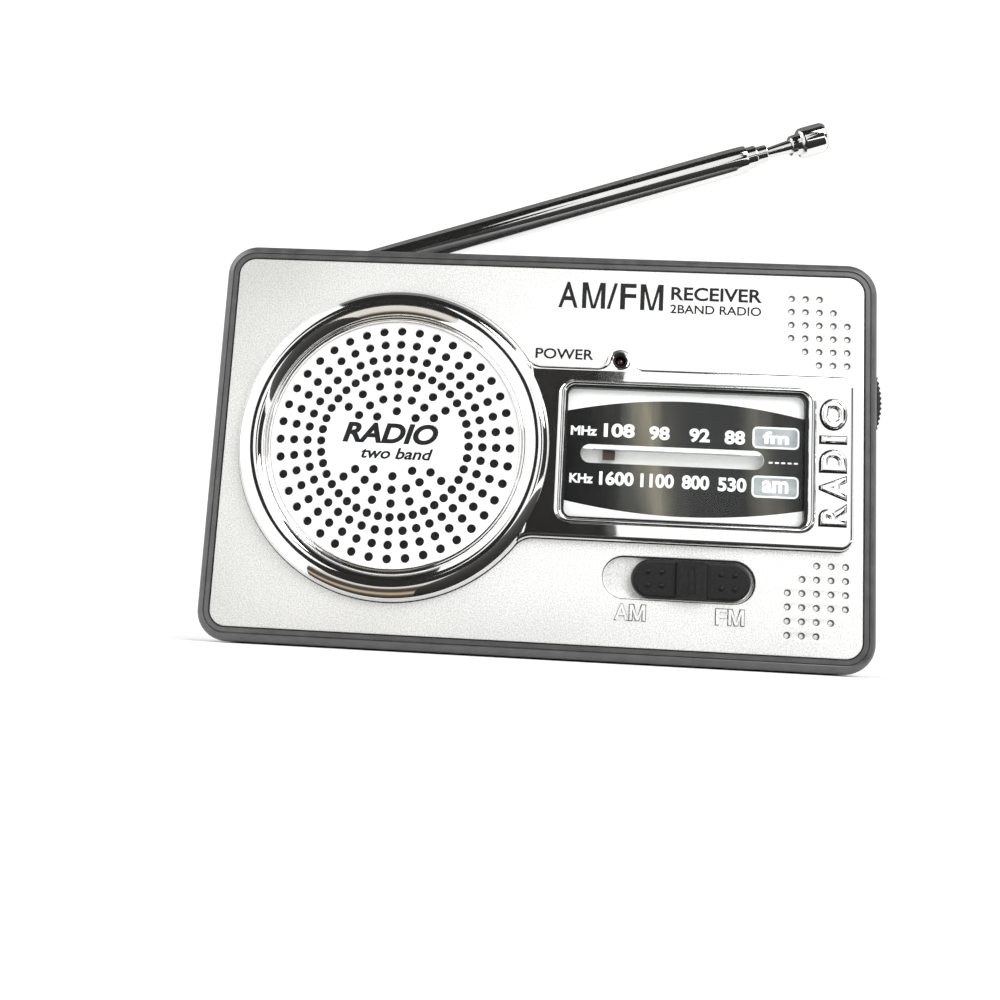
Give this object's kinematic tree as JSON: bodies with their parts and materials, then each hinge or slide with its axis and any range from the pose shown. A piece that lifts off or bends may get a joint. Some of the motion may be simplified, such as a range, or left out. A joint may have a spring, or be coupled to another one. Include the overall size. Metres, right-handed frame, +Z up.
{
  "type": "pocket radio receiver",
  "caption": "Upright pocket AM/FM radio with a round speaker grille, a framed tuning dial, a side tuning wheel, a band switch and a telescopic antenna.",
  "frame": {"origin": "middle of the bottom edge, on the face the radio stands on", "axes": "+X to the right seen from the front, +Y from the front to the back, +Z up"},
  "size_m": [0.1222, 0.0275, 0.1105],
  "materials": {
    "dark_case": "satin dark grey moulding",
    "silver_panel": "fine metallic silver",
    "chrome": "mirror bright plating",
    "grille_white": "pale satin",
    "clear_plastic": "clear, polished",
    "dial_print": "black band on silver with white figures",
    "dial_white": "white",
    "pointer_red": "dark red",
    "gear_nylon": "natural nylon",
    "knob_black": "black, fine grain",
    "led_lens": "dark red lens, unlit",
    "circuit_board": "brown laminate",
    "zinc_steel": "zinc plated",
    "brass": "plain",
    "ferrite": "matt black",
    "copper_winding": "enamelled copper wire",
    "cone_paper": "black paper and cloth",
    "cell_sleeve": "shrink sleeve",
    "capacitor_sleeve": "shrink sleeve"
  },
  "bodies": {
    "case": {"front_cabinet": "dark_case", "rear_cover": "dark_case", "front_panel": "silver_panel", "chrome_trim": "chrome", "speaker_grille": "grille_white", "grille_cloth": "cone_paper", "dial_window": "clear_plastic", "dial_scale": "dial_print", "dial_strip": "dial_white", "power_led": "led_lens", "band_switch_body": "zinc_steel", "idler_pin": "zinc_steel", "tuning_capacitor": "gear_nylon", "volume_pot": "zinc_steel", "speaker_frame": "zinc_steel", "speaker_magnet": "ferrite", "speaker_clip_1": "zinc_steel", "speaker_clip_2": "zinc_steel", "speaker_screw_1": "zinc_steel", "speaker_screw_2": "zinc_steel", "circuit_board": "circuit_board", "coil_can_1": "zinc_steel", "coil_can_2": "zinc_steel", "coil_can_3": "zinc_steel", "radio_chip": "knob_black", "electrolytic_1": "capacitor_sleeve", "electrolytic_2": "capacitor_sleeve", "ferrite_rod": "ferrite", "antenna_coil": "copper_winding", "earphone_jack": "knob_black", "battery_cell_1": "cell_sleeve", "battery_cell_2": "cell_sleeve", "battery_spring_1": "zinc_steel", "battery_spring_2": "zinc_steel", "battery_plate_1": "zinc_steel", "battery_plate_2": "zinc_steel", "case_screw_1": "zinc_steel", "case_screw_2": "zinc_steel", "case_screw_3": "zinc_steel", "case_screw_4": "zinc_steel"},
    "band_knob": {"band_switch_knob": "knob_black"},
    "tuning": {"tuning_wheel": "knob_black", "tuning_screw": "zinc_steel", "tuning_shaft": "brass"},
    "idler": {"idler_gear": "gear_nylon"},
    "pointer": {"dial_pointer": "pointer_red"},
    "volume": {"volume_wheel": "knob_black", "volume_screw": "zinc_steel"},
    "door": {"battery_door": "dark_case"},
    "cone": {"speaker_cone": "cone_paper"},
    "antenna_base": {"antenna_mount": "chrome", "antenna_nut": "zinc_steel", "antenna_pin": "zinc_steel"},
    "antenna_outer": {"antenna_foot": "chrome", "antenna_tube_1": "chrome"},
    "antenna_middle": {"antenna_tube_2": "chrome"},
    "antenna_inner": {"antenna_tube_3": "chrome"},
    "antenna_tip": {"antenna_rod": "chrome", "antenna_cap": "chrome"}
  },
  "joints": [
    {"name": "band_switch_slide", "type": "slide", "parent": "case", "child": "band_knob", "axis": [1, 0, 0], "range_m": [-0.0043, 0]},
    {"name": "tuning_turn", "type": "hinge", "parent": "case", "child": "tuning", "pos_m": [0.046, -0.0061, 0.0494], "axis": [0, 1, 0], "range_deg": [-8, 172]},
    {"name": "idler_turn", "type": "hinge", "parent": "case", "child": "idler", "pos_m": [0.02749, -0.009, 0.0527], "axis": [0, 1, 0], "range_deg": [-118, 6]},
    {"name": "pointer_slide", "type": "slide", "parent": "case", "child": "pointer", "axis": [1, 0, 0], "range_m": [-0.0012, 0.023]},
    {"name": "volume_turn", "type": "hinge", "parent": "case", "child": "volume", "pos_m": [0.0526, 0.001, 0.022], "axis": [0, 1, 0], "range_deg": [0, 300]},
    {"name": "battery_door_hinge", "type": "hinge", "parent": "case", "child": "door", "pos_m": [0, 0.0125, 0.003], "axis": [-1, 0, 0], "range_deg": [0, 95]},
    {"name": "speaker_cone_travel", "type": "slide", "parent": "case", "child": "cone", "axis": [0, 1, 0], "range_m": [-0.0006, 0.0006], "stiffness_N_per_m": 600},
    {"name": "antenna_swivel", "type": "hinge", "parent": "case", "child": "antenna_base", "pos_m": [-0.055, 0.006, 0.0716], "axis": [0, 0, 1], "range_deg": [0, 180]},
    {"name": "antenna_tilt", "type": "hinge", "parent": "antenna_base", "child": "antenna_outer", "pos_m": [-0.055, 0.006, 0.0716], "axis": [0, -1, 0], "range_deg": [-18.3, 71.7]},
    {"name": "antenna_slide_1", "type": "slide", "parent": "antenna_outer", "child": "antenna_middle", "axis": [0.9494, 0, 0.314], "range_m": [0, 0.085]},
    {"name": "antenna_slide_2", "type": "slide", "parent": "antenna_middle", "child": "antenna_inner", "axis": [0.9494, 0, 0.314], "range_m": [0, 0.084]},
    {"name": "antenna_slide_3", "type": "slide", "parent": "antenna_inner", "child": "antenna_tip", "axis": [0.9494, 0, 0.314], "range_m": [0, 0.083]}
  ],
  "couplings": [
    {"joint": "idler_turn", "follows": "tuning_turn", "ratio": -0.67857},
    {"joint": "pointer_slide", "follows": "tuning_turn", "m_per_rad": 0.0076}
  ]
}
